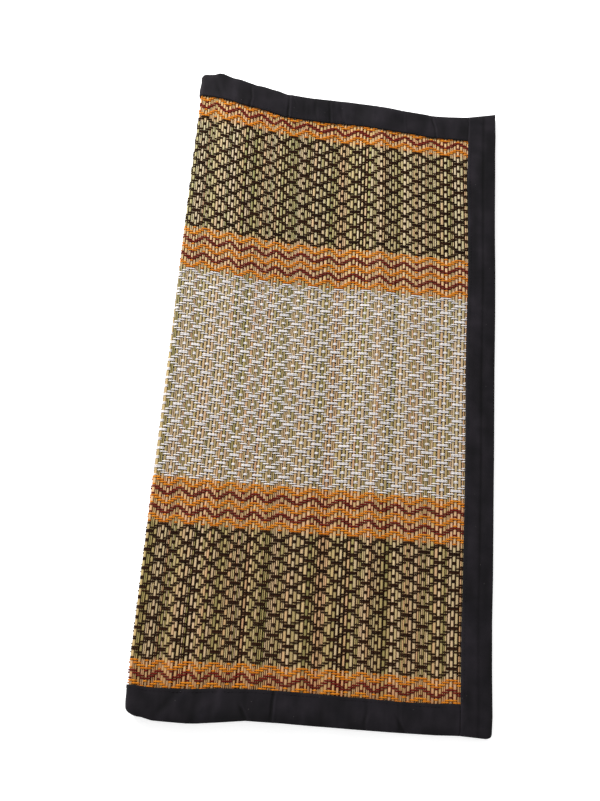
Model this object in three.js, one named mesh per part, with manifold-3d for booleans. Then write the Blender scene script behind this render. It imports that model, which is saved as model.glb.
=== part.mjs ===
// A woven reed meditation mat with black cotton edging, folded once in half and lying flat.
// Millimetres, +Z up. The reeds and the fold run along Y. The fold is at -X and the two open
// ends lie over each other at +X. The origin is the middle of the underside.
import * as THREE from 'three';
import { ConvexGeometry } from 'three/addons/geometries/ConvexGeometry.js';
import { mergeVertices } from 'three/addons/utils/BufferGeometryUtils.js';
import Module from 'manifold-3d';

// Driving dimensions of the folded mat
const FOLDED_LENGTH = 305;
const MAT_WIDTH = 610;
const PANEL_THICKNESS = 2.0;
const TAPE_THICKNESS = 1.0;
const CLEARANCE = 0.3;

// How far the edging reaches over the panel, measured from the outer edge
const FAR_TAPE_WIDTH = 29;
const NEAR_TAPE_WIDTH = 27;
const END_TAPE_WIDTH = 27;

// How far inside the outer edge the woven panel stops: at its reed ends, and at its two open ends
const REED_END_INSET = 8;
const OPEN_END_INSET = 11.5;

// Lift of the upper and the lower layer above their seats, as [x, lift], at the far (+Y) and near
// (-Y) edges. The fold is pressed flat, and stands up with both layers.
const UPPER_LIFT = {
  far: [[-136, 15], [-58, 0], [25, 3], [87, 0]],
  near: [[-136, 3], [-58, 0.6], [25, 1.5], [87, 0]],
};
const LOWER_LIFT = {
  far: [[-136, 15], [-92, 0]],
  near: [[-132, 3], [-100, 0]],
};

// Uneven run of the soft outer edges, as [x, outward shift]
const FAR_EDGE_WAVE = [[-148, 1], [-118, 2], [-62, 0], [28, -1], [87, -4], [127, -1]];
const NEAR_EDGE_WAVE = [[-148, -1], [-102, 2], [-50, -2], [40, 0]];

// Plan rounding of the edging at the two ends of the fold
const FAR_FOLD_CORNER = 4;
const NEAR_FOLD_CORNER = 12;

// Steps along the lower layer, round the fold and along the upper layer
const LOWER_STEPS = 40;
const FOLD_STEPS = 12;
const UPPER_STEPS = 48;

const LAYER = PANEL_THICKNESS + 2 * (TAPE_THICKNESS + CLEARANCE);
const LOWER_MIDDLE = LAYER / 2;
const UPPER_MIDDLE = LOWER_MIDDLE + LAYER + CLEARANCE;
const OPEN_X = FOLDED_LENGTH / 2;
const FOLD_MIDDLE_X = -FOLDED_LENGTH / 2 + LAYER / 2;
const HALF_WIDTH = MAT_WIDTH / 2;
const PANEL_END_X = OPEN_X - OPEN_END_INSET;
const REED_END_Y = HALF_WIDTH - REED_END_INSET;
const END_TAPE_X = OPEN_X - END_TAPE_WIDTH;

const wasm = await Module();
wasm.setup();

const straw = new THREE.MeshStandardMaterial({ color: '#b5a473', roughness: 0.75, metalness: 0 });
const cotton = new THREE.MeshStandardMaterial({ color: '#2a282e', roughness: 0.9, metalness: 0 });

// Value at x of a table of [x, value] rows, eased from each row to the next
function eased(table, x) {
  if (x <= table[0][0]) return table[0][1];
  for (let i = 1; i < table.length; i += 1) {
    const [x0, from] = table[i - 1];
    const [x1, to] = table[i];
    if (x <= x1) return THREE.MathUtils.lerp(from, to, THREE.MathUtils.smoothstep(x, x0, x1));
  }
  return table.at(-1)[1];
}

// The reeds are stiff and straight, so the lift changes evenly from the near edge to the far one
function liftAt(lift, x, y) {
  const share = THREE.MathUtils.clamp((y + HALF_WIDTH) / MAT_WIDTH, 0, 1);
  return THREE.MathUtils.lerp(eased(lift.near, x), eased(lift.far, x), share);
}

// Point of one layer's middle surface. Its outward side is up on the upper layer, down on the lower
function layerPoint(lift, seat, side, x, y) {
  const slope = liftAt(lift, x + 0.5, y) - liftAt(lift, x - 0.5, y);
  const length = Math.hypot(1, slope);
  return { x, z: seat + liftAt(lift, x, y), outX: -side * slope / length, outZ: side / length };
}

// How far the edging's rounded corner pulls the fold back at a place beyond the reed ends
function cornerPull(y) {
  const beyond = (Math.abs(y) - REED_END_Y - CLEARANCE) / (REED_END_INSET - CLEARANCE);
  const t = THREE.MathUtils.clamp(beyond, 0, 1);
  const depth = y > 0 ? FAR_FOLD_CORNER : NEAR_FOLD_CORNER;
  return depth * (1 - Math.sqrt(1 - t * t));
}

// Middle surface of the folded cloth at one place across the mat, from the open end of the lower
// layer to the open end of the upper one, with the direction that faces out of the fold
function foldPath(y, endX) {
  const radius = (UPPER_MIDDLE - LOWER_MIDDLE) / 2;
  const turnX = FOLD_MIDDLE_X + cornerPull(y) + radius;
  const turnZ = LOWER_MIDDLE + liftAt(LOWER_LIFT, FOLD_MIDDLE_X, y) + radius;
  const path = [];
  for (let i = 0; i < LOWER_STEPS; i += 1) {
    const x = THREE.MathUtils.lerp(endX, turnX, i / LOWER_STEPS);
    path.push(layerPoint(LOWER_LIFT, LOWER_MIDDLE, -1, x, y));
  }
  for (let i = 0; i <= FOLD_STEPS; i += 1) {
    const angle = -Math.PI / 2 - Math.PI * i / FOLD_STEPS;
    const outX = Math.cos(angle);
    const outZ = Math.sin(angle);
    path.push({ x: turnX + radius * outX, z: turnZ + radius * outZ, outX, outZ });
  }
  for (let i = 1; i <= UPPER_STEPS; i += 1) {
    const x = THREE.MathUtils.lerp(turnX, endX, i / UPPER_STEPS);
    path.push(layerPoint(UPPER_LIFT, UPPER_MIDDLE, 1, x, y));
  }
  return path;
}

// Geometry of one closed body from rings of points that all have the same count
function closedRings(rings, capFaces) {
  const count = rings[0].length;
  const last = (rings.length - 1) * count;
  const index = [];
  for (let r = 0; r < rings.length - 1; r += 1) {
    for (let k = 0; k < count; k += 1) {
      const a = r * count + k;
      const b = r * count + (k + 1) % count;
      index.push(a, b, a + count, b, b + count, a + count);
    }
  }
  for (const [a, b, c] of capFaces) {
    index.push(a, c, b, last + a, last + b, last + c);
  }
  const geometry = new THREE.BufferGeometry();
  geometry.setAttribute('position', new THREE.Float32BufferAttribute(rings.flat(2), 3));
  geometry.setIndex(index);
  return geometry;
}

// Body swept round the fold. A section corner is [y, distance out from the middle surface],
// and edgeShift moves the corners beyond the reed ends.
function sweptRoundFold(section, endX, edgeShift) {
  const outline = section.map(([y, out]) => new THREE.Vector2(y, out));
  const rightWay = THREE.ShapeUtils.isClockWise(outline) ? [...section].reverse() : section;
  const paths = rightWay.map(([y]) => foldPath(y, endX));
  const rings = paths[0].map((_, step) => rightWay.map(([y, out], k) => {
    const { x, z, outX, outZ } = paths[k][step];
    return [x + out * outX, y + edgeShift(x, y), z + out * outZ];
  }));
  const corners = rightWay.map(([y, out]) => new THREE.Vector2(y, out));
  return closedRings(rings, THREE.ShapeUtils.triangulateShape(corners, []));
}

// The woven panel: one sheet that goes out, round the fold and back
function wovenPanel() {
  const half = PANEL_THICKNESS / 2;
  const section = [[-REED_END_Y, -half], [REED_END_Y, -half], [REED_END_Y, half], [-REED_END_Y, half]];
  return sweptRoundFold(section, PANEL_END_X, () => 0);
}

// Half of the edging's section beyond the reed ends, as [share of the inset, share of the height]
const SOFT_EDGE = [[0, 1], [0.6, 0.72], [0.92, 0.38], [1, 0]];

// Edging over the reed ends on one side: a folded tape with the panel's edge between its two faces
function sideTape(side, width, wave) {
  const outer = LAYER / 2;
  const inner = PANEL_THICKNESS / 2 + CLEARANCE;
  const innerEdge = HALF_WIDTH - width;
  const slot = REED_END_Y + CLEARANCE;
  const rim = SOFT_EDGE.map(([share, height]) => [REED_END_Y + share * REED_END_INSET, height * outer]);
  const section = [
    [innerEdge, outer],
    ...rim,
    ...rim.slice(0, -1).reverse().map(([y, out]) => [y, -out]),
    [innerEdge, -outer],
    [innerEdge, -inner],
    [slot, -inner],
    [slot, inner],
    [innerEdge, inner],
  ].map(([y, out]) => [side * y, out]);
  const shift = (x, y) => (Math.abs(y) > slot ? side * eased(wave, x) : 0);
  return sweptRoundFold(section, END_TAPE_X - CLEARANCE, shift);
}

function toManifold(geometry) {
  const bare = geometry.clone();
  bare.deleteAttribute('normal');
  bare.deleteAttribute('uv');
  const merged = mergeVertices(bare, 1e-4);
  const vertProperties = new Float32Array(merged.attributes.position.array);
  const triVerts = new Uint32Array(merged.index.array);
  return new wasm.Manifold(new wasm.Mesh({ numProp: 3, vertProperties, triVerts }));
}

function toGeometry(solid) {
  const mesh = solid.getMesh();
  const geometry = new THREE.BufferGeometry();
  geometry.setAttribute('position', new THREE.Float32BufferAttribute(mesh.vertProperties, 3));
  geometry.setIndex([...mesh.triVerts]);
  return geometry;
}

// Edging over one open end: a tape pocket with soft outer edges, slit where the panel goes in.
// Its far outer corner is pulled out a little and its near one is rounded.
function endTape() {
  const outer = LAYER / 2;
  const farSeam = eased(FAR_EDGE_WAVE, END_TAPE_X);
  const farCorner = 3;
  const nearSeam = eased(NEAR_EDGE_WAVE, END_TAPE_X);
  const nearRounding = 5;
  const points = [];
  for (const [share, height] of SOFT_EDGE) {
    const x = PANEL_END_X + share * OPEN_END_INSET;
    const y = REED_END_Y + share * REED_END_INSET;
    const bend = share * nearRounding;
    for (const z of [height * outer, -height * outer]) {
      points.push(new THREE.Vector3(END_TAPE_X, y + share * farSeam, z));
      points.push(new THREE.Vector3(x, y + share * farCorner, z));
      points.push(new THREE.Vector3(END_TAPE_X, -y - share * nearSeam, z));
      points.push(new THREE.Vector3(x - bend, -y, z));
      points.push(new THREE.Vector3(x - 0.3 * bend, -y + 0.3 * bend, z));
      points.push(new THREE.Vector3(x, -y + bend, z));
    }
  }
  const slitStart = END_TAPE_X - 5;
  const slitLength = PANEL_END_X + CLEARANCE - slitStart;
  const slitWidth = 2 * (REED_END_Y + CLEARANCE);
  const slit = new THREE.BoxGeometry(slitLength, slitWidth, PANEL_THICKNESS + 2 * CLEARANCE);
  slit.translate(slitStart + slitLength / 2, 0, 0);
  return toGeometry(toManifold(new ConvexGeometry(points)).subtract(toManifold(slit)));
}

function addPiece(group, name, geometry, material, height = 0) {
  const mesh = new THREE.Mesh(geometry, material);
  mesh.name = name;
  mesh.position.z = height;
  group.add(mesh);
}

const mat = new THREE.Group();
addPiece(mat, 'woven_panel', wovenPanel(), straw);
addPiece(mat, 'side_tape_far', sideTape(1, FAR_TAPE_WIDTH, FAR_EDGE_WAVE), cotton);
addPiece(mat, 'side_tape_near', sideTape(-1, NEAR_TAPE_WIDTH, NEAR_EDGE_WAVE), cotton);
addPiece(mat, 'end_tape_lower', endTape(), cotton, LOWER_MIDDLE);
addPiece(mat, 'end_tape_upper', endTape(), cotton, UPPER_MIDDLE);

export default mat;
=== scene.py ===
# %% [markdown]
# A meditation mat of straw reeds, woven on cotton threads, edged with black cotton tape and folded
# once in half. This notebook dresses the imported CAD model: the reeds, every warp thread and the
# four tapes are meshes of their own, and each one stays where its plain solid is.
# Everything is worked out in millimetres, and turned into metres when a mesh is made.

# %% Load the model
import math

import bpy
import numpy as np
from mathutils import Matrix, Vector


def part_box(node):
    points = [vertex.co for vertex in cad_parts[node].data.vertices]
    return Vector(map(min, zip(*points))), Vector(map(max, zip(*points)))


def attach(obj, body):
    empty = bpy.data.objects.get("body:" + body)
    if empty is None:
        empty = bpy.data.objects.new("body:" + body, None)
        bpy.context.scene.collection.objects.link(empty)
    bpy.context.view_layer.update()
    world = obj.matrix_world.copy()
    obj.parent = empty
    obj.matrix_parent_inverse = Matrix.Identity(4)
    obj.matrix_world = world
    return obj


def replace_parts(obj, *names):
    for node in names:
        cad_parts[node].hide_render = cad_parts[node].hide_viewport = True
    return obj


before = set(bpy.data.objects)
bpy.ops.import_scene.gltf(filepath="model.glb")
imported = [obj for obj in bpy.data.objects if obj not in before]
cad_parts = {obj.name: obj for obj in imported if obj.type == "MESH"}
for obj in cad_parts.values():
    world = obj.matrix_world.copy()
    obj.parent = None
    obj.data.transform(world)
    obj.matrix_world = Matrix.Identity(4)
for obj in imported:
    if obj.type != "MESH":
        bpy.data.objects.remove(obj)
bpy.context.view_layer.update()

MM = 0.001
print("CAD nodes:", sorted(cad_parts))

# %% [markdown]
# The mat's main sizes come from the boxes of the CAD nodes. An end tape is as thick as one layer of
# the folded mat, so its box gives the layer's thickness and the height of each layer's middle.

# %% Sizes from the model
panel_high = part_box("woven_panel")[1] / MM
lower_low, lower_high = (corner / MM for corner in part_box("end_tape_lower"))
upper_low, upper_high = (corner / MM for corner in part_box("end_tape_upper"))
far_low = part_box("side_tape_far")[0] / MM
near_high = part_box("side_tape_near")[1] / MM

LAYER = lower_high.z - lower_low.z
LOWER_MIDDLE = (lower_low.z + lower_high.z) / 2
UPPER_MIDDLE = (upper_low.z + upper_high.z) / 2
OPEN_X = lower_high.x
END_TAPE_X = lower_low.x
END_TAPE_WIDTH = OPEN_X - END_TAPE_X
EMPTY_STRIP = OPEN_X - panel_high.x
FOLD_MIDDLE_X = far_low.x + LAYER / 2
REED_END_Y = panel_high.y
REED_INSET = 8
HALF_WIDTH = REED_END_Y + REED_INSET
FAR_TAPE_WIDTH = HALF_WIDTH - far_low.y
NEAR_TAPE_WIDTH = HALF_WIDTH + near_high.y
print(f"a layer is {LAYER:.1f} mm thick, the fold's middle line is at x {FOLD_MIDDLE_X:.1f} mm")

# %% [markdown]
# The mat doesn't lie quite flat. The fold is pressed tight and stands up, more at its far end, and
# takes both layers along. From there the upper one sinks slowly, drops onto the lower one near the
# middle, and rises a little before the open end. Short tables give the lift of each layer along the
# far and the near edge. The reeds between them are straight, so the lift changes evenly across the
# mat. The fold isn't quite square either: its near end lies a few millimetres further out, and its
# near corner leans back inwards.

# %% The folded shape
# lifts are rows of x and height
FAR_UPPER_LIFT = [[-136, 15], [-34, 5], [-4, 0], [6, 0], [34, 3], [87, 0]]
NEAR_UPPER_LIFT = [[-136, 3], [-100, 2.5], [-22, 4.5], [12, 0.5], [44, 1.4], [87, 0]]
FAR_LOWER_LIFT = [[-136, 15], [-92, 0]]
NEAR_LOWER_LIFT = [[-132, 3], [-100, 0]]
FAR_FOLD_SHIFT = -1
NEAR_FOLD_SHIFT = 5
NEAR_CORNER_LEAN = 4
LEAN_START_Y = 266
LEAN_POWER = 1.3
CORNER_FADE = 45
RIPPLE_HEIGHT = 0.3
RIPPLE_LENGTH = 17
SAMPLES = 900
NOISE_SHAPE = (211, 223)


def clamped(value):
    """The value, kept between 0 and 1."""
    return np.clip(value, 0, 1)


def eased(table, x):
    """Value at x of rows [x, value], eased by 3t^2 - 2t^3 from row to row, and level past the ends."""
    places, values = np.array(table, float).T
    x = np.asarray(x, float)
    row = np.clip(np.searchsorted(places, x) - 1, 0, len(places) - 2)
    t = clamped((x - places[row]) / (places[row + 1] - places[row]))
    return values[row] + (values[row + 1] - values[row]) * t * t * (3 - 2 * t)


def soft_noise(a, b, seed):
    """Seeded values from -1 to 1 at whole numbers of a and b, eased from each one to the next."""
    rows, columns = NOISE_SHAPE
    table = np.random.default_rng(seed).uniform(-1, 1, NOISE_SHAPE)
    a, b = np.broadcast_arrays(np.asarray(a, float), np.asarray(b, float))
    i, j = np.floor(a).astype(int), np.floor(b).astype(int)
    s, t = (u * u * (3 - 2 * u) for u in (a - i, b - j))
    i, i_next, j, j_next = i % rows, (i + 1) % rows, j % columns, (j + 1) % columns
    near_row = table[i, j] * (1 - t) + table[i, j_next] * t
    far_row = table[i_next, j] * (1 - t) + table[i_next, j_next] * t
    return near_row * (1 - s) + far_row * s


def edge_path(lower_lift, upper_lift, fold_shift, seed):
    """x, z and run along an edge: the lower layer, a half circle and the upper layer. The run is the way
    from the fold's outermost point, below zero on the lower layer."""
    radius = (UPPER_MIDDLE - LOWER_MIDDLE) / 2
    turn_x = FOLD_MIDDLE_X + radius - fold_shift
    turn_z = LOWER_MIDDLE + eased(lower_lift, FOLD_MIDDLE_X) + radius
    lower = np.linspace(OPEN_X, turn_x, SAMPLES, endpoint=False)
    angle = np.linspace(-math.pi / 2, -3 * math.pi / 2, SAMPLES // 3)
    upper = np.linspace(turn_x, OPEN_X, SAMPLES + 1)[1:]
    ripple = RIPPLE_HEIGHT * soft_noise(upper / RIPPLE_LENGTH, 0, seed)
    ripple = ripple * clamped((upper - turn_x) / 25) * clamped((END_TAPE_X - 12 - upper) / 20)
    x = np.concatenate([lower, turn_x + radius * np.cos(angle), upper])
    z = np.concatenate([
        LOWER_MIDDLE + eased(lower_lift, lower),
        turn_z + radius * np.sin(angle),
        UPPER_MIDDLE + eased(upper_lift, upper) + ripple,
    ])
    run = np.concatenate([[0], np.cumsum(np.hypot(np.diff(x), np.diff(z)))])
    return x, z, run - run[SAMPLES + SAMPLES // 6]


edges = [
    edge_path(NEAR_LOWER_LIFT, NEAR_UPPER_LIFT, NEAR_FOLD_SHIFT, 3),
    edge_path(FAR_LOWER_LIFT, FAR_UPPER_LIFT, FAR_FOLD_SHIFT, 4),
]
HALF_RUN = float(np.mean([[-run[0], run[-1]] for x, z, run in edges]))
scaled_runs = [np.where(run < 0, run / -run[0], run / run[-1]) * HALF_RUN for x, z, run in edges]
tracks = [[x, z, np.gradient(x), np.gradient(z)] for x, z, run in edges]
print(f"from the fold to each open end the cloth is {HALF_RUN:.1f} mm long")


def cloth_point(run, y, out):
    """Point of the folded cloth: the two edges' places at this run, mixed by y, and a step outwards."""
    run, y, out = np.broadcast_arrays(run, y, out)
    share = clamped((y + HALF_WIDTH) / (2 * HALF_WIDTH))
    near, far = ([np.interp(run, at, row) for row in track] for at, track in zip(scaled_runs, tracks))
    x, z, along_x, along_z = (a + (b - a) * share for a, b in zip(near, far))
    length = np.hypot(along_x, along_z)
    beyond = clamped((-y - LEAN_START_Y) / (HALF_WIDTH - LEAN_START_Y))
    lean = NEAR_CORNER_LEAN * beyond ** LEAN_POWER * clamped(1 - np.abs(run) / CORNER_FADE)
    return np.stack([x + lean - out * along_z / length, y, z + out * along_x / length], axis=-1)


# %% [markdown]
# Helpers turn numbers into Blender pieces. One joins rings of points into closed tubes, which is
# how all pieces are made, with no loop over vertices. Another makes the mesh, and uses its signed
# volume to be sure that its faces look outward.

# %% Mesh helpers
def closed_tubes(points):
    """Faces for points[tube, ring, corner]: quads from each ring to the next, and one cap at each end."""
    tubes, rings, corners = points.shape[:3]
    start = np.arange(tubes)[:, None, None] * rings * corners
    ring = np.arange(rings - 1)[:, None] * corners
    corner = np.arange(corners)
    a = start + ring + corner
    b = start + ring + (corner + 1) % corners
    walls = np.stack([a, b, b + corners, a + corners], axis=-1).reshape(-1, 4)
    first_cap = start[:, 0] + corner[::-1]
    last_cap = start[:, 0] + (rings - 1) * corners + corner
    return [walls, first_cap, last_cap]


def signed_volume(points, faces):
    """Sum over a fan of triangles of a . (b x c) / 6, which is positive where faces look outward."""
    total = 0.0
    for group in faces:
        for k in range(1, group.shape[1] - 1):
            a, b, c = (points[group[:, corner]] for corner in (0, k, k + 1))
            total += np.sum(a * np.cross(b, c)) / 6
    return total


def in_scene(name, data):
    """Puts a mesh, lamp or camera in the scene under this name."""
    made = bpy.data.objects.new(name, data)
    bpy.context.scene.collection.objects.link(made)
    return made


def add_piece(name, points, faces, material, values):
    """A smooth closed mesh from points in millimetres, with values by point, on the mat's one body."""
    points = np.asarray(points, float).reshape(-1, 3)
    if signed_volume(points - points.mean(axis=0), faces) < 0:
        faces = [group[:, ::-1] for group in faces]
    sizes = np.concatenate([np.full(len(group), group.shape[1]) for group in faces])
    mesh = bpy.data.meshes.new(name)
    mesh.vertices.add(len(points))
    mesh.vertices.foreach_set("co", (points * MM).ravel())
    mesh.loops.add(int(sizes.sum()))
    mesh.loops.foreach_set("vertex_index", np.concatenate([group.ravel() for group in faces]))
    mesh.polygons.add(len(sizes))
    mesh.polygons.foreach_set("loop_start", np.cumsum(sizes) - sizes)
    mesh.update(calc_edges=True)
    mesh.polygons.foreach_set("use_smooth", np.ones(len(sizes), bool))
    layer = mesh.attributes.new("grade", "FLOAT_VECTOR", "POINT")
    layer.data.foreach_set("vector", np.asarray(values, float).ravel())
    mesh.materials.append(material)
    piece = in_scene(name, mesh)
    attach(piece, "root")
    print(f"{name}: {int((sizes - 2).sum())} triangles")
    return piece


# %% [markdown]
# Materials are node trees. Colours are written as the sRGB hex values that a paint program shows,
# and one function turns them into the linear values that a shader works with. Another adds a node
# with its settings and links in one line. Distances in a pattern are real ones: a noise whose
# spots are 3 mm long has a scale of 1000 / 3 for each metre.

# %% Material helpers
ONE_BAND_SCALE = 0.32


def linear(hex_colour):
    """sRGB hex to linear: c / 12.92 up to 0.04045, and ((c + 0.055) / 1.055) ^ 2.4 above. Alpha is 1."""
    parts = [int(hex_colour[i:i + 2], 16) / 255 for i in (1, 3, 5)]
    return [c / 12.92 if c <= 0.04045 else ((c + 0.055) / 1.055) ** 2.4 for c in parts] + [1]


def add_node(tree, kind, settings):
    """Adds a node. A setting is a property, an input's value, or the output that feeds an input."""
    node = tree.nodes.new(kind)
    for key, value in settings.items():
        if isinstance(value, bpy.types.NodeSocket):
            tree.links.new(value, node.inputs[key])
        elif isinstance(key, str) and hasattr(node, key):
            setattr(node, key, value)
        else:
            node.inputs[key].default_value = value
    return node


def new_material(name):
    """An empty material and its node tree."""
    material = bpy.data.materials.new(name)
    material.use_nodes = True
    material.node_tree.nodes.clear()
    return material, material.node_tree


def add_surface(tree, settings):
    """A Principled shader, with its uniform values on its own sockets, and the output that it feeds."""
    shader = add_node(tree, "ShaderNodeBsdfPrincipled", settings)
    add_node(tree, "ShaderNodeOutputMaterial", {"Surface": shader.outputs["BSDF"]})


def place_in(tree, lengths_mm, turn=0):
    """Object coordinates counted in these lengths along X, Y and Z, turned about Z by some degrees."""
    place = add_node(tree, "ShaderNodeTexCoord", {}).outputs["Object"]
    scale = [1 / (length * MM) for length in lengths_mm]
    settings = {"Scale": scale, "Rotation": (0, 0, math.radians(turn)), "Vector": place}
    return add_node(tree, "ShaderNodeMapping", settings).outputs["Vector"]


def stretched_noise(tree, lengths_mm, detail=2.0):
    """Noise whose spots have these sizes in millimetres along X, Y and Z."""
    settings = {"Scale": 1.0, "Detail": detail, "Vector": place_in(tree, lengths_mm)}
    return add_node(tree, "ShaderNodeTexNoise", settings).outputs["Fac"]


def bands(tree, length_mm, turn):
    """Bands this far apart, turned by some degrees. The scale gives a wave texture one band a unit."""
    settings = {"Scale": ONE_BAND_SCALE, "Vector": place_in(tree, [length_mm] * 3, turn)}
    return add_node(tree, "ShaderNodeTexWave", settings).outputs["Fac"]


def point_values(tree):
    """Outputs X, Y and Z: the three values that each point of a piece carries."""
    grade = add_node(tree, "ShaderNodeAttribute", {"attribute_name": "grade"})
    return add_node(tree, "ShaderNodeSeparateXYZ", {"Vector": grade.outputs["Vector"]}).outputs


def graded(tree, source, stops):
    """A colour ramp: stops are (position, hex colour)."""
    node = add_node(tree, "ShaderNodeValToRGB", {"Fac": source})
    ramp = node.color_ramp
    while len(ramp.elements) < len(stops):
        ramp.elements.new(0.5)
    for element, (position, colour) in zip(ramp.elements, stops):
        element.position = position
        element.color = linear(colour)
    return node.outputs["Color"]


def ranged(tree, source, low, high, span=(0, 1)):
    """Turns a span, which is 0 to 1 unless it is given, into low to high."""
    settings = {"From Min": span[0], "From Max": span[1], "To Min": low, "To Max": high, "Value": source}
    return add_node(tree, "ShaderNodeMapRange", settings).outputs["Result"]


def calculated(tree, operation, *inputs):
    """Output of a math node, whose inputs are numbers or other outputs."""
    settings = {"operation": operation, **dict(enumerate(inputs))}
    return add_node(tree, "ShaderNodeMath", settings).outputs[0]


def blended(tree, factor, first, second, blend="MIX"):
    """From the first colour at factor 0 to the second, which may be a hex colour, at factor 1."""
    if isinstance(second, str):
        second = linear(second)
    settings = {"data_type": "RGBA", "blend_type": blend, "Factor": factor, 6: first, 7: second}
    return add_node(tree, "ShaderNodeMix", settings).outputs[2]


def shaded(tree, colour, amount):
    """A colour times a brightness or a tint."""
    return blended(tree, 1.0, colour, amount, "MULTIPLY")


def bumped(tree, height, strength, depth_mm):
    """Normals of a surface where a height of 0 to 1 stands for this depth."""
    settings = {"Strength": strength, "Distance": depth_mm * MM, "Height": height}
    return add_node(tree, "ShaderNodeBump", settings).outputs["Normal"]


# %% [markdown]
# The weft is dried grass straw, about 3 mm wide and split or pressed flat. Split straw is smooth
# and slightly waxy, with fine fibres along it, and no two stalks have quite the same colour: straw
# yellow, buff, a greenish olive, a pinkish tan. Each stalk carries its own place in that range as
# an attribute, and the fibres are a noise stretched along the stalk. Its flanks are darkened with
# painted shade, brown, and orange-brown in the orange bands, so the gaps between stalks look dark.
# The straw is duller between the white threads, and the orange dye has tinted it.

# %% Straw material
STRAW_COLOURS = [
    (0.0, "#706b3c"), (0.2, "#8b8450"), (0.45, "#a8986a"), (0.65, "#b4a686"), (0.82, "#b49b72"),
    (1.0, "#af8f68"),
]
DYED_STRAW = "#c0a078"
WEAVE_MIDDLE_Y = -2.6
BAND_REACH = 300
BAND_TINTS = [
    # share of the reach from the middle of the weave, tint of a stalk's crest, painted shade on
    # its flanks, and grey for how much of the stalk is dyed
    (0.323, "#f6efea", "#6c4e2c", "#000000"),
    (0.339, "#fff8f2", "#a04b12", "#c0c0c0"),
    (0.459, "#fff8f2", "#a04b12", "#c0c0c0"),
    (0.475, "#fffdfc", "#6c4c2a", "#000000"),
    (0.843, "#fffdfc", "#6c4c2a", "#000000"),
    (0.859, "#fff2e4", "#a04b12", "#c0c0c0"),
]
SIDE_REACH = 200
SIDE_TINTS = [(0.0, "#fff3f0"), (1.0, "#fcfcff")]
GREENER_TINTS = [(0.4, "#fffbfb"), (0.62, "#f2f8ea")]
FIBRE_WIDTH = 0.3

straw, tree = new_material("dried grass straw")
carried = point_values(tree)
place = add_node(tree, "ShaderNodeTexCoord", {}).outputs["Object"]
place_y = add_node(tree, "ShaderNodeSeparateXYZ", {"Vector": place}).outputs["Y"]
off = calculated(tree, "ABSOLUTE", calculated(tree, "ADD", place_y, -WEAVE_MIDDLE_Y * MM))
share = ranged(tree, off, 0, 1, (0, BAND_REACH * MM))
crest, painted_flank_shade, dye = (
    graded(tree, share, [(row[0], row[column]) for row in BAND_TINTS]) for column in (1, 2, 3)
)
fibres = stretched_noise(tree, (FIBRE_WIDTH, 22, FIBRE_WIDTH), 3)
tints = [
    carried["Y"],
    ranged(tree, fibres, 0.72, 1.28),
    ranged(tree, stretched_noise(tree, (5, 35, 5)), 0.82, 1.18),
    graded(tree, stretched_noise(tree, (4, 50, 4), 1), GREENER_TINTS),
    # painted shade: a stalk goes from its crest tint on top to the painted flank shade at its sides
    blended(tree, ranged(tree, carried["Z"], 0, 1, (0.62, 0.95)), painted_flank_shade, crest),
    graded(tree, ranged(tree, place_y, 0, 1, (-SIDE_REACH * MM, SIDE_REACH * MM)), SIDE_TINTS),
]
colour = blended(tree, dye, graded(tree, carried["X"], STRAW_COLOURS), DYED_STRAW)
for tint in tints:
    colour = shaded(tree, colour, tint)
add_surface(tree, {
    "Base Color": colour,
    "Roughness": ranged(tree, fibres, 0.36, 0.62),
    "Specular IOR Level": 0.3,
    "Normal": bumped(tree, fibres, 0.5, 0.12),
})

# %% [markdown]
# The reeds lie side by side across the mat. Each place in the weave holds one flattened stalk, and
# now and then two thin ones. The reeds were beaten together by hand, so they don't lie evenly: the
# weave's zigzag turns at every fourth one, and the places of those turns in the photograph give the
# spacing, and the slight bow of the reeds. A stalk is an ellipse carried along Y: at angle a its
# corner is (width x cos a, height x sin a), laid on the folded cloth. An array of one copied stalk
# would be quicker, but then all stalks would be alike.

# %% Reed places
TURN_ROWS_Y = (262, 195, 100, -5, -110, -200, -262)
TURNS_X = [
    # x of a turn of the zigzag at each of these rows, from the open end to the fold
    (115.1, 117.4, 120.1, 118.6, 118.7, 117.7, 117.3),
    (101.9, 103.4, 106.4, 106.3, 105.6, 105.1, 104.6),
    (87.2, 88.4, 91, 91.2, 90.8, 91.2, 91.3),
    (71.9, 73.6, 76.4, 76.8, 76.4, 76.5, 76.6),
    (59.7, 61.9, 63.9, 63.8, 63.8, 64.2, 64.2),
    (47.4, 50.3, 50.8, 50.1, 50.2, 50.5, 50.6),
    (35.1, 37.8, 40.1, 40.4, 39.9, 39.8, 39.9),
    (24.3, 25.4, 27.1, 26.3, 26.3, 26.7, 26.9),
    (11.2, 12.3, 14.3, 15.2, 13.8, 13, 12.6),
    (-2.2, -1.5, 0.1, 0.1, 0.1, 0.1, 0.4),
    (-11.8, -11.2, -9.8, -10, -11, -10.8, -10.7),
    (-26.7, -26.3, -24.3, -25.1, -25.7, -25.4, -24.7),
    (-41.7, -40.8, -37.3, -38.4, -39, -38.7, -38.3),
    (-54.7, -52.5, -49.2, -50.5, -52.4, -52, -52.6),
    (-66.6, -64.9, -61.1, -61.4, -62.8, -61.8, -61.7),
    (-75, -74.4, -71.2, -71.5, -73.3, -73.5, -73),
    (-88.1, -87.4, -84.1, -83.3, -85.1, -86, -85.6),
    (-100.3, -99.3, -96.3, -94.6, -96.1, -97.3, -96.9),
    (-110.2, -109.3, -106.2, -104.6, -105.3, -106.1, -105.6),
    (-122.9, -121.6, -118, -116.7, -118.1, -120, -120.6),
    (-133.1, -132.1, -130.1, -128.9, -128.9, -129.6, -129.7),
    (-143.1, -142, -141, -138.4, -139.3, -140.7, -141.1),
]
REEDS_PER_TURN = 4
REEDS_PAST_TURN = 6
OPEN_END_PITCH = 3.6
REED_PITCH = 3.16
REED_SCATTER = 0.11
HIDDEN_SCATTER = 0.02
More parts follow.
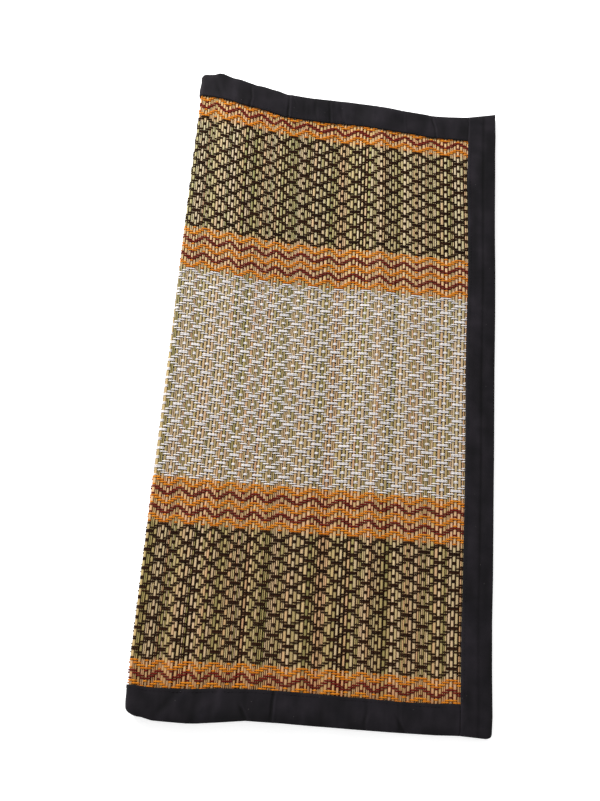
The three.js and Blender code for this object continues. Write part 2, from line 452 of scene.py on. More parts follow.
HIDDEN_BELOW_RUN = 4
PAIR_SHARE = 0.3
STALK_SHARE = 0.44
THIN_SHARE = 0.213
THIN_GAP = 0.06
HIDDEN_SHARE = 0.56
STALK_HEIGHT = 0.58
STALK_RINGS = 17
STALK_CORNERS = 8
TONE_SPREAD = 0.55

rng = np.random.default_rng(20)


def turn_runs(y, turns_x):
    """Runs of the turns: the upper layer's x against run, read the other way round."""
    run = np.linspace(0, HALF_RUN, 2000)
    return np.interp(turns_x, cloth_point(run, y, 0)[:, 0], run)


def reed_places(number, turns):
    """Runs of the reeds: even steps from one turn to the next, at a set pitch before and after them."""
    at = (number - REEDS_PAST_TURN) / REEDS_PER_TURN
    run = np.interp(at, np.arange(len(turns)), turns)
    run += OPEN_END_PITCH * np.clip(REEDS_PAST_TURN - number, 0, None)
    return run - REED_PITCH * REEDS_PER_TURN * np.clip(at - len(turns) + 1, 0, None)


def between_rows(row_y, places, values, place, y):
    """Value at a place and y: each row is read at the place, and counts less the further y is from it."""
    at = np.interp(-y, -np.array(row_y, float), np.arange(len(row_y)))
    parts = (np.interp(place, places, row) * clamped(1 - np.abs(at - k)) for k, row in enumerate(values))
    return sum(parts)


rows = [turn_runs(y, column) for y, column in zip(TURN_ROWS_Y, np.array(TURNS_X, float).T)]
middle_row = TURN_ROWS_Y.index(-5)
run_left = rows[middle_row][-1] + HALF_RUN - EMPTY_STRIP - 1
reed_count = REEDS_PAST_TURN + REEDS_PER_TURN * (len(TURNS_X) - 1) + int(run_left / REED_PITCH)
reed_number = np.arange(reed_count)
row_runs = np.stack([reed_places(reed_number, row) for row in rows])
middle_run = row_runs[middle_row]
bow = (row_runs - middle_run) * clamped((middle_run + HALF_RUN) / HALF_RUN)
hidden = middle_run < HIDDEN_BELOW_RUN
reed_run = middle_run + np.where(hidden, HIDDEN_SCATTER, REED_SCATTER) * rng.normal(0, 1, reed_count)
reed_room = -np.gradient(middle_run)
paired = (rng.random(reed_count) < PAIR_SHARE) & ~hidden
print(f"{reed_count} places for reeds, {int(paired.sum())} of them with two thin stalks")


def bowed(run, y):
    """Run at y of what has this run in the middle of the width."""
    run, y = np.broadcast_arrays(run, y)
    return run + between_rows(TURN_ROWS_Y, reed_run[::-1], bow[:, ::-1], run, y)


def stalk_rows():
    """One row for each stalk: its run, half width, half height and place in the range of colours."""
    single = np.flatnonzero(~paired)
    double = np.repeat(np.flatnonzero(paired), 2)
    side = np.tile([-1, 1], len(double) // 2)
    apart = side * (THIN_SHARE * reed_room[double] + THIN_GAP)
    run = np.concatenate([reed_run[single], reed_run[double] + apart])
    width = np.concatenate([STALK_SHARE * reed_room[single], THIN_SHARE * reed_room[double]])
    width *= rng.uniform(0.93, 1.03, len(run))
    width = np.where(run < HIDDEN_BELOW_RUN, HIDDEN_SHARE * REED_PITCH, width)
    height = STALK_HEIGHT * rng.uniform(0.85, 1.08, len(run))
    tone = clamped(0.5 + TONE_SPREAD * (rng.random(len(run)) + rng.random(len(run)) - 1))
    shade = rng.uniform(0.86, 1.15, len(run))
    return run, width, height, tone, shade


def reed_panel():
    """All stalks in one mesh: ellipses on the folded cloth, drifting a little along their length."""
    run, width, height, tone, shade = (column[:, None, None] for column in stalk_rows())
    stalk = np.arange(len(run))[:, None, None]
    y = np.linspace(-REED_END_Y, REED_END_Y, STALK_RINGS)[:, None]
    angle = (np.arange(STALK_CORNERS) + 0.5) * 2 * math.pi / STALK_CORNERS
    drift = 0.16 * soft_noise(y / 70, stalk * 0.31, 5) + 0.07 * soft_noise(y / 45, stalk * 1.7, 6)
    growth = 1 + 0.05 * soft_noise(y / 90, stalk * 1.3, 7)
    across = drift + width * growth * np.cos(angle)
    out = 0.06 * soft_noise(y / 60, stalk * 1.9, 8) + height * np.sin(angle)
    points = cloth_point(bowed(run, y) + across, y, out)
    # the third value is how high a corner sits on the stalk, which places the painted shade on its flanks
    values = np.broadcast_arrays(tone, shade, 0.5 + 0.5 * np.sin(angle), points[..., 0])[:3]
    faces = closed_tubes(points)
    return add_piece("reeds", points, faces, straw, np.stack(values, axis=-1))


reeds = reed_panel()

# %% [markdown]
# The weave is a pointed twill on four shafts, charted from the diamonds and zigzags that
# show. The reeds are entered in a zigzag too: counted from a valley, their step goes 0 1 2 3 4 3 2 1
# and starts again. A thread lies over a reed when its shaft plus the reed's step leaves 3 or 0
# after division by four, and under it otherwise. Threads in the order 0 1 2 3 draw a zigzag line,
# and threads in the order 3 2 1 0 0 1 2 3 close it into diamonds.

# %% Weave chart
STEPS = np.array([0, 1, 2, 3, 4, 3, 2, 1])
FIRST_TURN_STEP = 4
ZIGZAG_SHAFTS = [0, 1, 2, 3]
DIAMOND_SHAFTS = [3, 2, 1, 0, 0, 1, 2, 3]
BANDS = [
    # colour of each group of threads, shafts of a group, far and near border of the band in y
    ("orange red orange", ZIGZAG_SHAFTS, 277.9, 253.6),
    ("black " * 7, DIAMOND_SHAFTS, 253.6, 137.5),
    ("orange red orange red orange", ZIGZAG_SHAFTS, 137.5, 96.6),
    ("white " * 12, DIAMOND_SHAFTS, 96.6, -101.9),
    ("orange red orange red orange", ZIGZAG_SHAFTS, -101.9, -142.7),
    ("black " * 7, DIAMOND_SHAFTS, -142.7, -257.2),
    ("orange red orange", ZIGZAG_SHAFTS, -257.2, -281.6),
]
PAIR_PULL = 0.3
WHITE_PAIR_PULL = 0.44

colours, shafts, places = [], [], []
for groups, order, far_border, near_border in BANDS:
    names = np.repeat(groups.split(), len(order))
    share = (np.arange(len(names)) + 0.5) / len(names)
    colours.append(names)
    shafts.append(np.tile(order, len(groups.split())))
    places.append(far_border + (near_border - far_border) * share)
thread_colour, thread_shaft, thread_y = (np.concatenate(rows) for rows in (colours, shafts, places))
twins = (np.diff(thread_shaft) == 0) & (thread_colour[1:] == thread_colour[:-1])
pull = np.where(thread_colour == "white", WHITE_PAIR_PULL, PAIR_PULL)
thread_y[:-1] -= pull[:-1] * twins
thread_y[1:] += pull[1:] * twins
reed_step = STEPS[(reed_number - REEDS_PAST_TURN + FIRST_TURN_STEP) % len(STEPS)]
print(f"{len(thread_y)} warp threads, {int(twins.sum())} of them side by side with a twin")

# %% [markdown]
# A thread is cotton cord a good millimetre wide, pressed flat where it crosses a reed. Its path is
# worked out once for each shaft: a ring over every reed that it crosses, one at each end of such a
# float, and two below each group that it passes under. All threads of a colour are then one array,
# with a slow wander along the mat and a little unevenness from float to float. Curves with a bevel
# would look much the same, but give less say over the flattening.

# %% Warp paths
THREAD_HALF_WIDTH = 0.66
WHITE_HALF_WIDTH = 0.5
THREAD_HALF_HEIGHT = 0.34
THREAD_CORNERS = np.array([[1, 1], [-1, 1], [-1, -1], [1, -1]])
OVER_REACH = 0.85
UNDER_REACH = 0.5
CREST = STALK_HEIGHT + 0.26
SHOULDER = STALK_HEIGHT + 0.16
DRIFT_X = [-140, -100, -60, -20, 20, 60, 100, 125]
DRIFT = [
    # y of a row of the weave, and how far it wanders at each of these x
    (262, [4.8, 1.4, -1.8, -0.7, 1.5, -0.6, -0.2, 0.7]),
    (230, [3, -0.5, -3.7, -1.9, 0.2, -0.8, -0.3, 0.3]),
    (195, [2.3, -1.2, -3.8, -2.7, -0.2, 0.1, 0, 1]),
    (137, [0.4, -2.3, -4.6, -3.5, -0.6, -0.4, 0.6, 0.7]),
    (97, [-1.4, -3.7, -5.6, -4.7, -1.6, -1.4, -0.2, 0.1]),
    (40, [-1.1, -2.6, -3.9, -3.2, -0.4, 0.1, 0.8, 0.9]),
    (-5, [-2.8, -3.9, -4.7, -4.1, -1.7, -1.1, -0.5, -0.7]),
    (-50, [-1.6, -2.2, -2.9, -1.9, -0.4, 0.2, 0.6, 0.5]),
    (-102, [-2.2, -2.2, -2, -1.4, 0.1, -0.2, 0.2, -0.1]),
    (-143, [-2, -1.8, -1.4, -1, -0.2, 0.1, -0.3, -0.1]),
    (-200, [-0.1, 0.6, 1.1, 1.7, 1.8, 2.2, 1.4, 2.2]),
    (-240, [-0.8, -0.1, 0.6, 0.8, 0.8, 0.9, 0.2, 0.8]),
    (-262, [-1.3, -0.4, 1.3, 0.5, 0.8, 0.6, -0.2, 0.2]),
]
drift_y, drift_rows = zip(*DRIFT)


def shaft_path(shaft):
    """Rings of a thread on one shaft: their run, their height and how wide the thread is there."""
    over = np.isin((reed_step + shaft) % 4, (3, 0))
    turns = np.flatnonzero(np.diff(over)) + 1
    first = np.concatenate([[0], turns])
    last = np.concatenate([turns - 1, [reed_count - 1]])
    above = over[first]
    reach = np.where(above, OVER_REACH, UNDER_REACH)
    height = np.where(above, SHOULDER, -CREST)
    width = np.where(above, 0.93, 0.8)
    crossed = np.flatnonzero(over)
    run = np.concatenate([reed_run[first] + reach, reed_run[crossed], reed_run[last] - reach])
    rise = np.concatenate([height, np.full(len(crossed), CREST), height])
    size = np.concatenate([width, np.full(len(crossed), 1.05), width])
    order = np.argsort(run)
    return run[order], rise[order], size[order]


paths = [shaft_path(shaft) for shaft in range(4)]


def warp_piece(name, chosen, material):
    """The chosen threads as four-sided tubes: corner = centre plus or minus half a width and height."""
    points, faces, values, count = [], [], [], 0
    for shaft, (run, rise, size) in enumerate(paths):
        number = np.flatnonzero(chosen & (thread_shaft == shaft))
        label = number[:, None].astype(float)
        straight_y = thread_y[number][:, None]
        bent_run = bowed(run[None, :], straight_y)
        middle_x = cloth_point(bent_run, straight_y, 0)[..., 0]
        drift = between_rows(drift_y, DRIFT_X, drift_rows, middle_x, straight_y)
        drift += 0.15 * soft_noise(run / 30, label, 12)
        drift += 0.08 * soft_noise(run / 2.9, label * 3.3, 13)
        white = thread_colour[number] == "white"
        half_width = np.where(white, WHITE_HALF_WIDTH, THREAD_HALF_WIDTH)[:, None]
        width = half_width * size * (1 + 0.12 * soft_noise(run / 3.1, label * 2.7, 14))
        height = rise + 0.05 * soft_noise(run / 3.3, label * 1.9, 15)
        y = (straight_y + drift)[..., None] + width[..., None] * THREAD_CORNERS[:, 0]
        out = height[..., None] + THREAD_HALF_HEIGHT * THREAD_CORNERS[:, 1]
        tubes = cloth_point(bent_run[..., None], y, out)
        faces += [group + count for group in closed_tubes(tubes)]
        shade = (0.5 + 0.5 * soft_noise(label, label * 0.3, 16))[..., None]
        # reed number along the thread, which places its painted shade between reeds
        reed_at = np.interp(run, reed_run[::-1], reed_number[::-1])[None, :, None]
        values.append(np.stack(np.broadcast_arrays(shade, reed_at, 0 * y), axis=-1).reshape(-1, 3))
        points.append(tubes.reshape(-1, 3))
        count += len(points[-1])
    groups = [np.concatenate(faces[k::3]) for k in range(3)]
    return add_piece(name, np.concatenate(points), groups, material, np.concatenate(values))


# %% [markdown]
# The warp is soft cotton, dyed black, orange and dark red or left a bluish white. Cotton is matte,
# with short fibres that catch light from the side, so it gets a high roughness and some sheen. The
# ply of the cord is about 0.9 mm long, drawn as slanting bands for the bump.

# %% Cotton thread materials
PLY_LENGTH = 0.9
PLY_SLANT = 35


def thread_material(name, colour, pale_colour, shade_between_reeds, sheen):
    """Dyed cotton cord: two near colours mixed by thread and along it, with painted shade between two
    reeds.
    """
    material, tree = new_material(name)
    carried = point_values(tree)
    half = calculated(tree, "MULTIPLY", carried["X"], 0.5)
    mixture = calculated(tree, "MULTIPLY_ADD", stretched_noise(tree, (4, 1.5, 4)), 0.5, half)
    base = graded(tree, mixture, [(0.2, colour), (0.8, pale_colour)])
    # painted shade: the thread is darker where it sinks between two reeds
    beside = calculated(tree, "PINGPONG", carried["Y"], 0.5)
    add_surface(tree, {
        "Base Color": shaded(tree, base, ranged(tree, beside, 1.0, shade_between_reeds, (0.2, 0.5))),
        "Roughness": 0.8,
        "Specular IOR Level": 0.08,
        "Sheen Weight": sheen,
        "Sheen Roughness": 0.5,
        "Normal": bumped(tree, bands(tree, PLY_LENGTH, PLY_SLANT), 0.5, 0.15),
    })
    return material


black_cotton = thread_material("black dyed cotton thread", "#180a03", "#2c1506", 0.6, 0.0)
orange_cotton = thread_material("orange dyed cotton thread", "#ae5e0a", "#c67a1a", 0.65, 0.05)
red_cotton = thread_material("dark red dyed cotton thread", "#4b0c07", "#65160d", 0.8, 0.03)
white_cotton = thread_material("bluish white cotton thread", "#c0bbbc", "#d7d2d0", 0.75, 0.1)

# %% Warp pieces
far_side = thread_y > 0
black, white = thread_colour == "black", thread_colour == "white"
warp = [
    warp_piece("warp_black_far", black & far_side, black_cotton),
    warp_piece("warp_black_near", black & ~far_side, black_cotton),
    warp_piece("warp_white_far", white & far_side, white_cotton),
    warp_piece("warp_white_near", white & ~far_side, white_cotton),
    warp_piece("warp_orange", thread_colour == "orange", orange_cotton),
    warp_piece("warp_red", thread_colour == "red", red_cotton),
]

# %% [markdown]
# The edging is plain black cotton tape, folded lengthwise round the edge and sewn through. From a
# step away it is matte and nearly black, with a faint random fading and a few specks of lint. Its
# colour also carries painted shade in creases and sunk strips, painted highlights on ridges and
# raised puckers, and a little painted shade all over the near side tape.
# Its plain weave, at some 0.4 mm, is too fine to show, so the bump is drawn at 0.8 mm.

# %% Tape material
WEAVE_LENGTH = 0.8
LINT_SPACING = 9
LINT_SHARE = 0.03

tape_cotton, tree = new_material("black cotton tape")
mottle = stretched_noise(tree, (14, 14, 14), 4)
colour = graded(tree, mottle, [(0.3, "#0e0c10"), (0.7, "#19161a")])
# painted shade and highlight: the grade attribute darkens troughs and brightens ridges, along with random
# fading
colour = shaded(tree, colour, ranged(tree, point_values(tree)["X"], 0.3, 1.7))
settings = {"Scale": 1.0, "Vector": place_in(tree, [LINT_SPACING] * 3)}
specks = add_node(tree, "ShaderNodeTexVoronoi", settings).outputs["Distance"]
lint = calculated(tree, "LESS_THAN", specks, LINT_SHARE)
weave = calculated(tree, "ADD", bands(tree, WEAVE_LENGTH, 0), bands(tree, WEAVE_LENGTH, 90))
add_surface(tree, {
    "Base Color": blended(tree, lint, colour, "#464342"),
    "Roughness": ranged(tree, mottle, 0.72, 0.9),
    "Specular IOR Level": 0.12,
    "Sheen Weight": 0.03,
    "Sheen Roughness": 0.45,
    "Normal": bumped(tree, weave, 0.35, 0.1),
})

# %% [markdown]
# Each tape's section is a flat hairpin: out over the edge, round its rim, and back underneath, with
# a turned-in lip on both inner edges. At a distance d from the rim its half height is
# h x sqrt(1 - (1 - d / r)^2) until d reaches r, and level after that, so the rim is round. A
# seam line is pressed in near the inner edge.

# %% Tape section
PANEL_ROOM = 1.25
LEAST_CLOTH = 0.25
SEAM_INSET = 2.6
SEAM_DEPTH = 0.32
SEAM_HALF_WIDTH = 0.9
LIP_DROP = 0.35
LIP_WIDTH = 0.45
RIM_GRIP = 3
UNDER_PUCKER = 0.25
TOP_POINTS = 24
LIP_POINTS = 4


def rounded(distance, radius):
    """Share of the full height at a distance from a round rim: a quarter of a circle."""
    t = clamped(distance / radius)
    return np.sqrt(clamped(1 - (1 - t) ** 2))


def hairpin(width, rim):
    """Closed section by distance from the rim: from the upper lip to the lower one, and back inside."""
    outer = width * np.linspace(0, 1, TOP_POINTS) ** 1.35
    lip = np.linspace(width, rim, LIP_POINTS)
    distance = np.concatenate([outer[::-1], outer[1:], lip, lip[::-1]])
    under = len(outer) - 1 + len(lip)
    face = np.concatenate([np.ones(len(outer)), -np.ones(under), np.ones(len(lip))])
    inside = np.arange(len(distance)) >= 2 * len(outer) - 1
    return distance, face, inside


def tape_height(distance, width, rim):
    """Half height of the outer faces: round at the rim, pressed in at the seam, turned in at the lip."""
    seam = SEAM_DEPTH * np.exp(-(((width - distance) - SEAM_INSET) / SEAM_HALF_WIDTH) ** 2)
    lip = LIP_DROP * np.exp(-((width - distance) / LIP_WIDTH) ** 2)
    return LAYER / 2 * rounded(distance, rim) - seam - lip


def free_cloth(distance, face):
    """How freely the cloth puckers: not at the rim, and less underneath."""
    return clamped(distance / RIM_GRIP) * np.where(face > 0, 1.0, UNDER_PUCKER)


# %% [markdown]
# Cotton tape that has been folded round a springy mat is never smooth. The big creases sit where
# the photograph has them, as rows of a table: where each starts at the inner edge, where it meets
# the rim, and its depth and width. A trough has a soft ridge beside it. Seeded noise adds the faint
# puckers in between, strongest round the fold, where the tape has to turn.

# %% Creases and side tapes
FAR_TAPE_CREASES = [
    # x at the inner edge, x at the rim, share of the width where it starts, depth, half width
    (-128, -140, 0, 0.4, 2.2),
    (-100, -102, 0, 0.7, 1.0),
    (-62, -62, 0, 1.1, 1.1),
    (-45, -61, 0.75, 0.7, 1.0),
    (-33, -34, 0.3, 0.4, 1.3),
    (-19, -21, 0, 0.7, 1.2),
    (-9, -19, 0.8, 0.6, 1.4),
    (-4, -10, 0, 0.3, 2.2),
    (60, 58, 0.2, -0.25, 0.8),
    (91, 87, 0, 1.0, 1.0),
]
NEAR_TAPE_CREASES = [
    (-112, -134, 0, 0.4, 4.0),
    (-97, -100, 0, 0.3, 3.4),
    (-83, -86, 0, 0.35, 2.6),
    (-68, -55, 0.7, 0.7, 1.4),
    (-34, -35, 0, 1.1, 1.2),
    (-14, -13, 0, 0.45, 2.6),
    (6, 8, 0, 0.3, 2.4),
    (44, 44, 0, 0.5, 1.5),
    (64, 78, 0.7, 0.8, 1.4),
    (71, 73, 0, 0.3, 1.6),
]
FAR_EDGE_WAVE = [
    [-148, 0.3], [-142, 0.9], [-138, 1.7], [-134, 3.7], [-130, 3.9], [-125, 2.2], [-120, 0.7], [-116, 0.5],
    [-112, 0.4], [-104, -1], [-96, -2.4], [-92, -2.3], [-88, -2.2], [-80, -3.3], [-72, -4.1], [-68, -5.1],
    [-64, -5.8], [-56, -5.3], [-48, -5.3], [-40, -5.4], [-32, -5.2], [-28, -4.9], [-24, -4.3], [-16, -2.9],
    [-8, -1.7], [0, -1.4], [8, -1.5], [16, -2.1], [24, -3.1], [32, -3.9], [40, -4.1], [56, -5], [80, -5],
    [88, -5.7], [104, -4.8], [120, -3.2], [127, -2.2],
]
NEAR_EDGE_WAVE = [
    [-148, -1], [-138, 1.1], [-125, 1.4], [-104, 1.7], [-96, 1.3], [-88, 0.4], [-72, -1.4], [-56, -3.4],
    [-24, -3.3], [0, -2.6], [64, -1.8], [104, -1.8], [120, -2.4], [127, -2.5],
]
FAR_INNER_WAVE = [
    [-146, 4.3], [-120, 2.5], [-116, 1.8], [-112, 0.9], [-104, 0.1], [-96, -0.1], [-92, -0.6], [-80, -1.7],
    [-68, -3.9], [-64, -4.4], [-56, -4.2], [-48, -3.9], [-40, -3.7], [-32, -3.9], [-24, -3.3], [-16, -2.1],
    [-8, -0.7], [0, -0.1], [8, 0.2], [16, -0.2], [24, -1.2], [32, -2.3], [40, -2.7], [48, -3.1], [72, -2.6],
    [88, -3.8], [104, -3], [127, -2.5],
]
NEAR_INNER_WAVE = [
    [-146, 1.3], [-138, 2.5], [-120, 2.1], [-104, 1.5], [-80, -0.6], [-64, -1.3], [-32, -1.9], [0, -1.4],
    [24, -0.8], [48, -0.6], [72, 0.2], [104, -0.1], [116, -0.9], [127, -1],
]
FAR_SIDE = (1, FAR_TAPE_WIDTH, FAR_EDGE_WAVE, FAR_INNER_WAVE)
NEAR_SIDE = (-1, NEAR_TAPE_WIDTH, NEAR_EDGE_WAVE, NEAR_INNER_WAVE)
TAPE_STEP = 0.9
TAPE_GAP = 0.3
SIDE_TAPE_STOP = HALF_RUN - END_TAPE_WIDTH - TAPE_GAP
CREASE_BEND = 1.1
RIDGE_SHARE = 0.55
RIDGE_PLACE = 1.7


def relief_shade_and_fading(depth):
    """Attribute for the tape's colour from a depth: 0.5 on a level face, lower for painted shade in a
    trough, higher for a painted highlight on a ridge.
    """
    level = clamped(0.5 - 0.7 * depth)
    return np.stack([level, 0 * level, 0 * level], axis=-1)


def creased(x, share, creases):
    """Depth of the creases at x and at a share of the width from the inner edge (0) to the rim (1)."""
    depth = np.zeros(np.broadcast(x, share).shape)
    for inner_x, rim_x, start, deep, wide in creases:
        bend = CREASE_BEND * soft_noise(share * 2.6, inner_x * 0.7, 91)
        off = (x - inner_x - (rim_x - inner_x) * share - bend) / wide
        here = deep * clamped(1 + (share - start) / 0.3)
        here *= (0.8 + 0.4 * soft_noise(share * 3, inner_x, 92))
        depth += here * np.exp(-off ** 2) - RIDGE_SHARE * here * np.exp(-(off - RIDGE_PLACE) ** 2)
    return depth


def wave(table, x):
    """Value at x of rows [x, value], straight from one row to the next."""
    places, values = np.array(table, float).T
    return np.interp(x, places, values)


def side_line(run, distance, edge):
    """x and y of a side tape at a distance from its rim, by which its two edges' waves are mixed."""
    side, width, edge_wave, inner_wave = edge
    share = 1 - distance / width
    flat_y = side * (HALF_WIDTH - distance)
    x = cloth_point(run, flat_y, 0)[..., 0]
    return x, flat_y + side * (wave(edge_wave, x) * share + wave(inner_wave, x) * (1 - share))


def side_tape(name, node, edge, corner, painted_shade_offset, creases, seed):
    """One side's tape along the folded path, with wavy edges, creases and rounded fold corners."""
    width = edge[1]
    run = np.linspace(-SIDE_TAPE_STOP, SIDE_TAPE_STOP, int(2 * SIDE_TAPE_STOP / TAPE_STEP))[:, None]
    distance, face, inside = hairpin(width, REED_INSET + 0.3)
    x, y = side_line(run, distance, edge)
    beyond = clamped(1 - distance / (REED_INSET - 0.3))
    pull = corner * (1 - np.sqrt(1 - beyond ** 2)) * clamped(1 - np.abs(run) / CORNER_FADE)
    near_fold = np.exp(-(run / 14) ** 2)
    pucker = (0.2 + 0.35 * near_fold) * soft_noise(run / 7, distance / 11, seed)
    pucker += 0.12 * soft_noise(run / 2.6, distance / 16, seed + 1)
    crease = creased(x, 1 - distance / width, creases) * (run > 0) * (face > 0)
    dent = crease - pucker * free_cloth(distance, face)
    least = (PANEL_ROOM + LEAST_CLOTH) * rounded(distance, REED_INSET / 2)
    outer = np.maximum(tape_height(distance, width, REED_INSET) - dent, least)
    outer = np.where(face > 0, outer, np.minimum(outer, LAYER / 2))
    points = cloth_point(run, y, face * np.where(inside, PANEL_ROOM, outer))
    points[..., 0] += pull
    points[..., 2] = np.maximum(points[..., 2], 0)
    faded = 0.5 * soft_noise(run / 11, distance / 18, seed + 2)
    # painted shade in creases and sunk puckers, painted highlights on ridges and raised puckers, random
    # fading, and extra painted shade on the near tape
    tape_shade_and_fading = relief_shade_and_fading(painted_shade_offset + crease - 0.7 * pucker - faded)
    piece = add_piece(name, points, closed_tubes(points[None]), tape_cotton, tape_shade_and_fading)
    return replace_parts(piece, node)


tape_far = side_tape("tape_far", "side_tape_far", FAR_SIDE, 0.8, 0, FAR_TAPE_CREASES, 31)
tape_near = side_tape("tape_near", "side_tape_near", NEAR_SIDE, 10, 0.07, NEAR_TAPE_CREASES, 37)

# %% [markdown]
# The tapes over the two open ends run the whole width of the mat and lie over the ends of the side
# tapes. Past the last reed such a tape is empty, so a soft lengthwise crease forms there and the
# outer strip lies lower. At both ends of its length the tape is tucked in and closed.

# %% End tapes
END_RIM = 7
END_CREASE_DEPTH = 0.55
END_CREASE_HALF_WIDTH = 1.1
EMPTY_SINK = 0.28
OVERLAP_RISE = 0.4
END_TAPE_ROWS = 330
TIP_LENGTH = 10
TIP_ROWS = 9
FAR_CORNER_POINT = 4.8
NEAR_CORNER_LIFT = 1.4
END_OUTER_WAVE = [
    [-302, 0.6], [-285, 1.4], [-248, 0.5], [-208, 0.5], [-169, 1.2], [-90, 1.6], [27, 1.8], [86, 2.4],
    [126, 2.4], [165, 2], [260, 1.9], [283, 2.3], [303, 1.9],
]
END_INNER_WAVE = [
    [-280, 0], [-230, -0.6], [-170, 0.3], [-90, 1], [20, 0.4], [60, 0.5], [110, 1.5], [190, 1],
    [225, -0.6], [283, 0],
]
NEAR_ROUNDING = 5


def end_line(y, distance, seed):
    """x and y of an end tape: its corners are pulled out at the far side and rounded at the near side."""
    past = clamped((np.abs(y) - REED_END_Y) / REED_INSET)
    outward = 1 - distance / END_TAPE_WIDTH
    far = wave(FAR_EDGE_WAVE, END_TAPE_X) * (1 - outward) + FAR_CORNER_POINT * outward
    near = -wave(NEAR_EDGE_WAVE, END_TAPE_X) * (1 - outward) + NEAR_CORNER_LIFT * outward
    turn = clamped((-y - HALF_WIDTH + NEAR_ROUNDING) / NEAR_ROUNDING)
    bend = NEAR_ROUNDING * (1 - np.sqrt(1 - turn ** 2)) * clamped(1 - distance / EMPTY_STRIP)
    wobble = 0.2 * soft_noise(y / 48, seed, 41)
    shift = wave(END_OUTER_WAVE, y) * outward + wave(END_INNER_WAVE, y) * (1 - outward)
    return OPEN_X - distance - bend + wobble + shift, y + past * np.where(y > 0, far, near)


def end_tape(name, node, middle, seed):
    """One open end's tape: the hairpin carried along Y, lower where it is empty, closed at both ends."""
    stop = HALF_WIDTH - TIP_LENGTH - 1
    tip = np.linspace(0, TIP_LENGTH, TIP_ROWS)
    rows = [-HALF_WIDTH + tip, np.linspace(-stop, stop, END_TAPE_ROWS), HALF_WIDTH - tip[::-1]]
    y = np.concatenate(rows)[:, None]
    distance, face, inside = hairpin(END_TAPE_WIDTH, EMPTY_STRIP + 0.3)
    ends = rounded(HALF_WIDTH - np.abs(y), REED_INSET)
    crease_at = EMPTY_STRIP + 1 + 0.8 * soft_noise(y / 90, 0, seed + 2)
    fade = 0.55 + 0.45 * clamped((y + 260) / 200)
    crease = END_CREASE_DEPTH * fade * np.exp(-((distance - crease_at) / END_CREASE_HALF_WIDTH) ** 2)
    empty = EMPTY_SINK * clamped((EMPTY_STRIP + 2.5 - distance) / 3)
    sunk = LAYER / 2 * empty * rounded(distance, END_RIM)
    height = tape_height(distance, END_TAPE_WIDTH, END_RIM) - sunk
    overlap = OVERLAP_RISE * clamped((np.abs(y) - REED_END_Y + 22) / 3)
    overlap = overlap * np.exp(-((END_TAPE_WIDTH - distance) / 4) ** 2)
    pucker = 0.16 * soft_noise(y / 9, distance / 9, seed)
    pucker += 0.1 * soft_noise(y / 3, distance / 14, seed + 1)
    outer = (height + overlap - crease * (face > 0) + pucker * free_cloth(distance, face)) * ends
    room = PANEL_ROOM * rounded(HALF_WIDTH - 2 - np.abs(y), REED_INSET - 2) + 0.02
    least = np.minimum(room * rounded(distance, EMPTY_STRIP) + 0.12, LAYER / 2)
    out = face * np.where(inside, room, np.maximum(outer, least))
    x, y = end_line(y, distance, seed)
    points = np.stack([x, y, np.maximum(middle + out, 0)], axis=-1)
    faded = 0.45 * soft_noise(y / 30, distance / 7, seed + 3)
    # painted shade in the crease and on the sunk empty strip, painted highlights where the overlap rises
    # and on raised puckers, and random fading
    tape_shade_and_fading = relief_shade_and_fading(crease - overlap - 0.7 * pucker + 0.3 * empty - faded)
    piece = add_piece(name, points, closed_tubes(points[None]), tape_cotton, tape_shade_and_fading)
    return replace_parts(piece, node)


tape_end_lower = end_tape("tape_end_lower", "end_tape_lower", LOWER_MIDDLE, 51)
tape_end_upper = end_tape("tape_end_upper", "end_tape_upper", UPPER_MIDDLE, 61)

# %% [markdown]
# The tapes are sewn on with one straight line of black lockstitch, which shows as short raised
# dashes in the groove that it pulls in. Each stitch is a five-sided spindle of five rings, few
# enough faces for several hundred of them, and all are one mesh.

# %% Stitches
STITCH_PITCH = 3.2
STITCH_CORNERS = 5
STITCH_SCATTER = 0.06
STITCH_RINGS = [
    # place along the stitch, radius, height above the seam
    (-1.2, 0.1, -0.3),
    (-0.8, 0.26, 0.0),
    (0.0, 0.32, 0.12),
    (0.8, 0.26, 0.0),
    (1.2, 0.1, -0.3),
]


def stitch_row(stop, seed):
    """Spindles at an even pitch from -stop to stop: along the seam, beside it and above it."""
    count = int(2 * stop / STITCH_PITCH)
    loose = np.random.default_rng(seed).normal(0, STITCH_SCATTER, (2, count, 1, 1))
    place, radius, rise = np.array(STITCH_RINGS).T[..., None]
    angle = np.arange(STITCH_CORNERS) * 2 * math.pi / STITCH_CORNERS
    along = np.linspace(-stop, stop, count)[:, None, None] + loose[0] + place
    return np.broadcast_arrays(along, loose[1] + radius * np.cos(angle), rise + radius * np.sin(angle))


def side_stitches(edge, seed):
    """Stitches on the outer face of a side tape."""
    width = edge[1]
    distance = width - SEAM_INSET
    along, beside, above = stitch_row(SIDE_TAPE_STOP - 2, seed)
    y = side_line(along, distance, edge)[1] + beside
    points = cloth_point(along, y, tape_height(distance, width, REED_INSET) + above)
    points[..., 2] = np.maximum(points[..., 2], 0)
    return points


def end_stitches(middle, outward, tape_seed, seed):
    """Stitches on the outer face of an end tape."""
    distance = END_TAPE_WIDTH - SEAM_INSET
    along, beside, above = stitch_row(REED_END_Y, seed)
    x, y = end_line(along, distance, tape_seed)
    z = middle + outward * (tape_height(distance, END_TAPE_WIDTH, END_RIM) + above)
    return np.stack([x + beside, y, np.maximum(z, 0)], axis=-1)


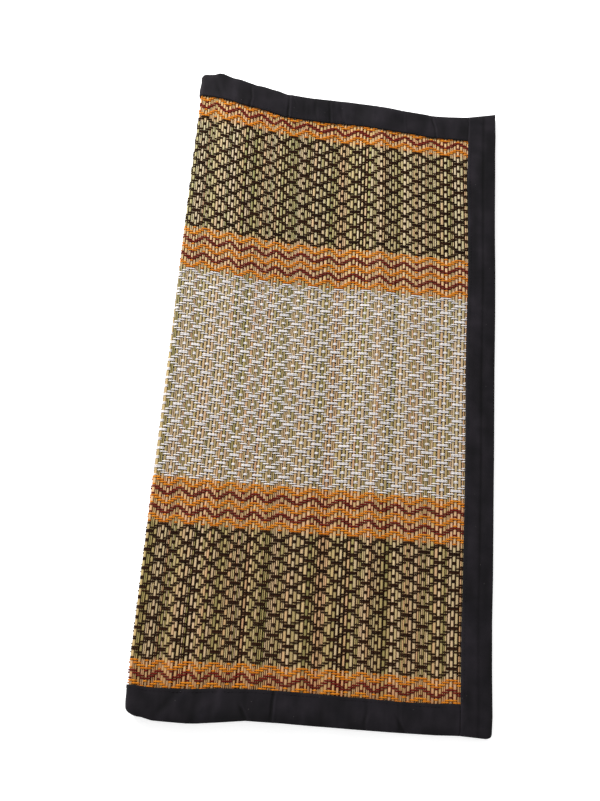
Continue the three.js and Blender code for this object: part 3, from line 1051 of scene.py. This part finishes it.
stitches = np.concatenate([
    side_stitches(FAR_SIDE, 71),
    side_stitches(NEAR_SIDE, 72),
    end_stitches(UPPER_MIDDLE, 1, 61, 73),
    end_stitches(LOWER_MIDDLE, -1, 51, 74)[:, ::-1],
])
level = np.full((stitches.size // 3, 3), 0.5)
stitch_faces = closed_tubes(stitches)
seam_stitches = add_piece("seam_stitches", stitches, stitch_faces, tape_cotton, level)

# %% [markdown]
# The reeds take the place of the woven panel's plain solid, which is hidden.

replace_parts(reeds, "woven_panel")

# %% [markdown]
# The mat lies on white paper under soft studio light, and the paper glows a little, so that hardly a
# shadow shows. A lamp beyond the far corner of the fold gives the gentle shadows, a larger one
# opposite fills them, and the sky is an even white.

# %% Floor and light
FLOOR_SIZE = 6.0
FLOOR_DROP = 0.0002
FLOOR_GLOW = 0.52
SKY_STRENGTH = 0.5
WHITE = (1, 1, 1, 1)
PAPER_TINTS = [(0.3, "#f1f1f1"), (0.7, "#f4f4f4")]


def lamp(name, place, target, size, watts):
    """A square area light at place that faces target."""
    light = bpy.data.lights.new(name, "AREA")
    light.size = size
    light.energy = watts
    made = in_scene(name, light)
    made.location = place
    made.rotation_euler = (Vector(target) - Vector(place)).to_track_quat("-Z", "Y").to_euler()


half = FLOOR_SIZE / 2
corners = [(half * x, half * y, -FLOOR_DROP) for x, y in ((-1, -1), (1, -1), (1, 1), (-1, 1))]
ground = bpy.data.meshes.new("floor")
ground.from_pydata(corners, [], [(0, 1, 2, 3)])
paper, tree = new_material("matte white paper")
add_surface(tree, {
    "Base Color": graded(tree, stretched_noise(tree, (60, 60, 60)), PAPER_TINTS),
    "Roughness": 0.9,
    "Emission Color": WHITE,
    "Emission Strength": FLOOR_GLOW,
})
ground.materials.append(paper)
in_scene("floor", ground)

lamp("key lamp", (-1.05, 0.9, 1.0), (0, 0.05, 0), 0.5, 46)
lamp("fill lamp", (0.9, -0.7, 1.8), (0, 0, 0), 1.6, 8)
world = bpy.data.worlds.new("studio")
bpy.context.scene.world = world
world.use_nodes = True
sky = world.node_tree.nodes["Background"].inputs
sky["Color"].default_value = WHITE
sky["Strength"].default_value = SKY_STRENGTH
bpy.context.scene.view_settings.view_transform = "Standard"

# %% [markdown]
# The photograph is taken from above, a little from the near side, with Y upwards but for a turn of a
# few degrees. Its frame is 600 by 801 pixels, so the sensor's height is the long side, and the lens
# follows from a focal length measured in pixels.

# %% Camera
PHOTO_HEIGHT_PX = 801
FOCAL_PX = 902.8
CAMERA_PLACE = Vector((-0.0915, -0.2668, 0.7988))
CAMERA_AIM = Vector((-0.0283, -0.0189, 0.0))
PICTURE_TURN = math.radians(3.86)
SENSOR_HEIGHT = 36

data = bpy.data.cameras.new("camera")
data.sensor_fit = "VERTICAL"
data.sensor_height = SENSOR_HEIGHT
data.lens = FOCAL_PX / PHOTO_HEIGHT_PX * SENSOR_HEIGHT
forward = (CAMERA_AIM - CAMERA_PLACE).normalized()
upward = Vector((-math.sin(PICTURE_TURN), math.cos(PICTURE_TURN), 0))
right = forward.cross(upward).normalized()
turned = Matrix((right, right.cross(forward), -forward)).transposed()
camera = in_scene("camera", data)
camera.matrix_world = Matrix.Translation(CAMERA_PLACE) @ turned.to_4x4()
bpy.context.scene.camera = camera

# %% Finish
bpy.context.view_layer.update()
